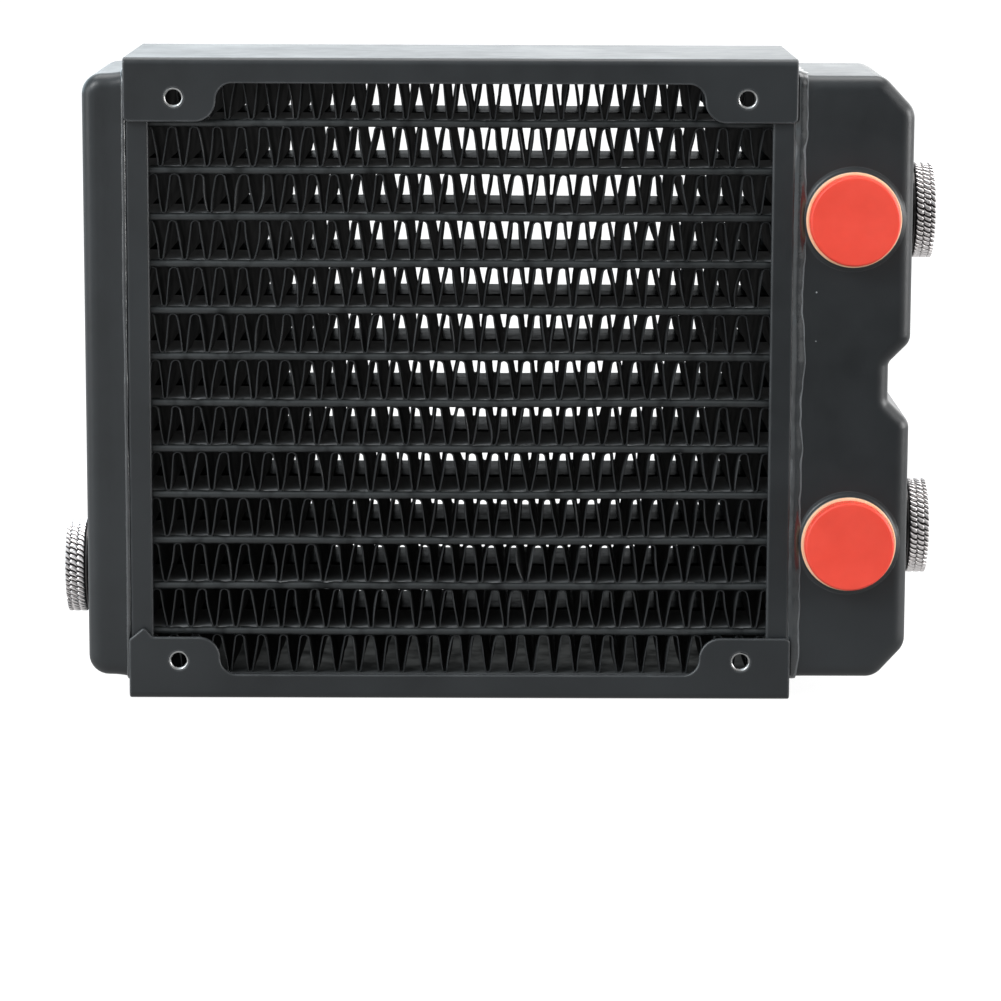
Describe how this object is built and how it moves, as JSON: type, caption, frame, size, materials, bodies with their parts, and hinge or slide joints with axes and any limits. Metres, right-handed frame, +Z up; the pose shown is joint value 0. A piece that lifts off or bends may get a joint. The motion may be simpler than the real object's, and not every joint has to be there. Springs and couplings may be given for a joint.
{
  "type": "liquid cooling radiator",
  "caption": "Single-fan liquid cooling radiator: flat tubes and folded fins between two tanks, a sheet frame with tapped fan holes, and threaded ports with stop plugs and caps.",
  "frame": {"origin": "centre of the underside: X at the middle of the fan hole pattern, Y at mid-depth, Z on the bottom channel's outer face", "axes": "+X runs from the narrow tank to the wide tank with the front ports, -Y is the front face with the transport caps, +Z is up"},
  "size_m": [0.1639, 0.0478, 0.1195],
  "materials": {
    "satin_black_paint": "satin black powder coat on sheet metal",
    "tube_paint": "satin black paint on flat brass tube",
    "fin_paint": "thin black paint on folded copper strip",
    "bare_brass": "plain rolled brass, unpainted inside the tank",
    "knurled_chrome": "bright plated metal with a diamond knurl",
    "seal_rubber": "smooth black rubber",
    "cap_plastic": "orange-red moulded plastic, softly dished face, serrated rim",
    "cap_washer_silicone": "pale peach soft washer"
  },
  "bodies": {
    "root": {"bottom_channel": "satin_black_paint", "core_side_plate_bottom": "satin_black_paint", "core_side_plate_top": "satin_black_paint", "core_tube_01": "tube_paint", "core_tube_02": "tube_paint", "core_tube_03": "tube_paint", "core_tube_04": "tube_paint", "core_tube_05": "tube_paint", "core_tube_06": "tube_paint", "core_tube_07": "tube_paint", "core_tube_08": "tube_paint", "core_tube_09": "tube_paint", "core_tube_10": "tube_paint", "core_tube_11": "tube_paint", "core_tube_12": "tube_paint", "fin_strip_01": "fin_paint", "fin_strip_02": "fin_paint", "fin_strip_03": "fin_paint", "fin_strip_04": "fin_paint", "fin_strip_05": "fin_paint", "fin_strip_06": "fin_paint", "fin_strip_07": "fin_paint", "fin_strip_08": "fin_paint", "fin_strip_09": "fin_paint", "fin_strip_10": "fin_paint", "fin_strip_11": "fin_paint", "fin_strip_12": "fin_paint", "fin_strip_13": "fin_paint", "header_plate_left": "satin_black_paint", "header_plate_right": "satin_black_paint", "port_insert_end_lower": "satin_black_paint", "port_insert_end_upper": "satin_black_paint", "port_insert_front_lower": "satin_black_paint", "port_insert_front_upper": "satin_black_paint", "port_insert_left_end": "satin_black_paint", "tank_baffle": "bare_brass", "tank_left": "satin_black_paint", "tank_right": "satin_black_paint", "top_channel": "satin_black_paint"},
    "seal_end_upper": {"plug_seal_end_upper": "seal_rubber"},
    "plug_end_upper": {"stop_plug_end_upper": "knurled_chrome"},
    "seal_end_lower": {"plug_seal_end_lower": "seal_rubber"},
    "plug_end_lower": {"stop_plug_end_lower": "knurled_chrome"},
    "seal_left_end": {"plug_seal_left_end": "seal_rubber"},
    "plug_left_end": {"stop_plug_left_end": "knurled_chrome"},
    "washer_front_upper": {"cap_washer_front_upper": "cap_washer_silicone"},
    "cap_front_upper": {"transport_cap_front_upper": "cap_plastic"},
    "washer_front_lower": {"cap_washer_front_lower": "cap_washer_silicone"},
    "cap_front_lower": {"transport_cap_front_lower": "cap_plastic"}
  },
  "joints": [
    {"name": "plug_end_upper_travel", "type": "slide", "parent": "root", "child": "seal_end_upper", "axis": [1, 0, 0], "range_m": [0, 0.0055]},
    {"name": "plug_end_upper_turn", "type": "hinge", "parent": "seal_end_upper", "child": "plug_end_upper", "pos_m": [0.0843, 0, 0.08995], "axis": [1, 0, 0], "range_deg": [0, 1440]},
    {"name": "plug_end_lower_travel", "type": "slide", "parent": "root", "child": "seal_end_lower", "axis": [1, 0, 0], "range_m": [0, 0.0055]},
    {"name": "plug_end_lower_turn", "type": "hinge", "parent": "seal_end_lower", "child": "plug_end_lower", "pos_m": [0.0843, 0, 0.02945], "axis": [1, 0, 0], "range_deg": [0, 1440]},
    {"name": "plug_left_end_travel", "type": "slide", "parent": "root", "child": "seal_left_end", "axis": [-1, 0, 0], "range_m": [0, 0.0055]},
    {"name": "plug_left_end_turn", "type": "hinge", "parent": "seal_left_end", "child": "plug_left_end", "pos_m": [-0.0704, 0, 0.0214], "axis": [-1, 0, 0], "range_deg": [0, 1440]},
    {"name": "cap_front_upper_travel", "type": "slide", "parent": "root", "child": "washer_front_upper", "axis": [0, -1, 0], "range_m": [0, 0.0055]},
    {"name": "cap_front_upper_turn", "type": "hinge", "parent": "washer_front_upper", "child": "cap_front_upper", "pos_m": [0.07235, -0.0216, 0.09015], "axis": [0, -1, 0], "range_deg": [0, 1440]},
    {"name": "cap_front_lower_travel", "type": "slide", "parent": "root", "child": "washer_front_lower", "axis": [0, -1, 0], "range_m": [0, 0.0055]},
    {"name": "cap_front_lower_turn", "type": "hinge", "parent": "washer_front_lower", "child": "cap_front_lower", "pos_m": [0.07235, -0.0216, 0.02965], "axis": [0, -1, 0], "range_deg": [0, 1440]}
  ],
  "couplings": [
    {"joint": "plug_end_upper_travel", "follows": "plug_end_upper_turn", "m_per_rad": 0.00021276},
    {"joint": "plug_end_lower_travel", "follows": "plug_end_lower_turn", "m_per_rad": 0.00021276},
    {"joint": "plug_left_end_travel", "follows": "plug_left_end_turn", "m_per_rad": 0.00021276},
    {"joint": "cap_front_upper_travel", "follows": "cap_front_upper_turn", "m_per_rad": 0.00021276},
    {"joint": "cap_front_lower_travel", "follows": "cap_front_lower_turn", "m_per_rad": 0.00021276}
  ]
}
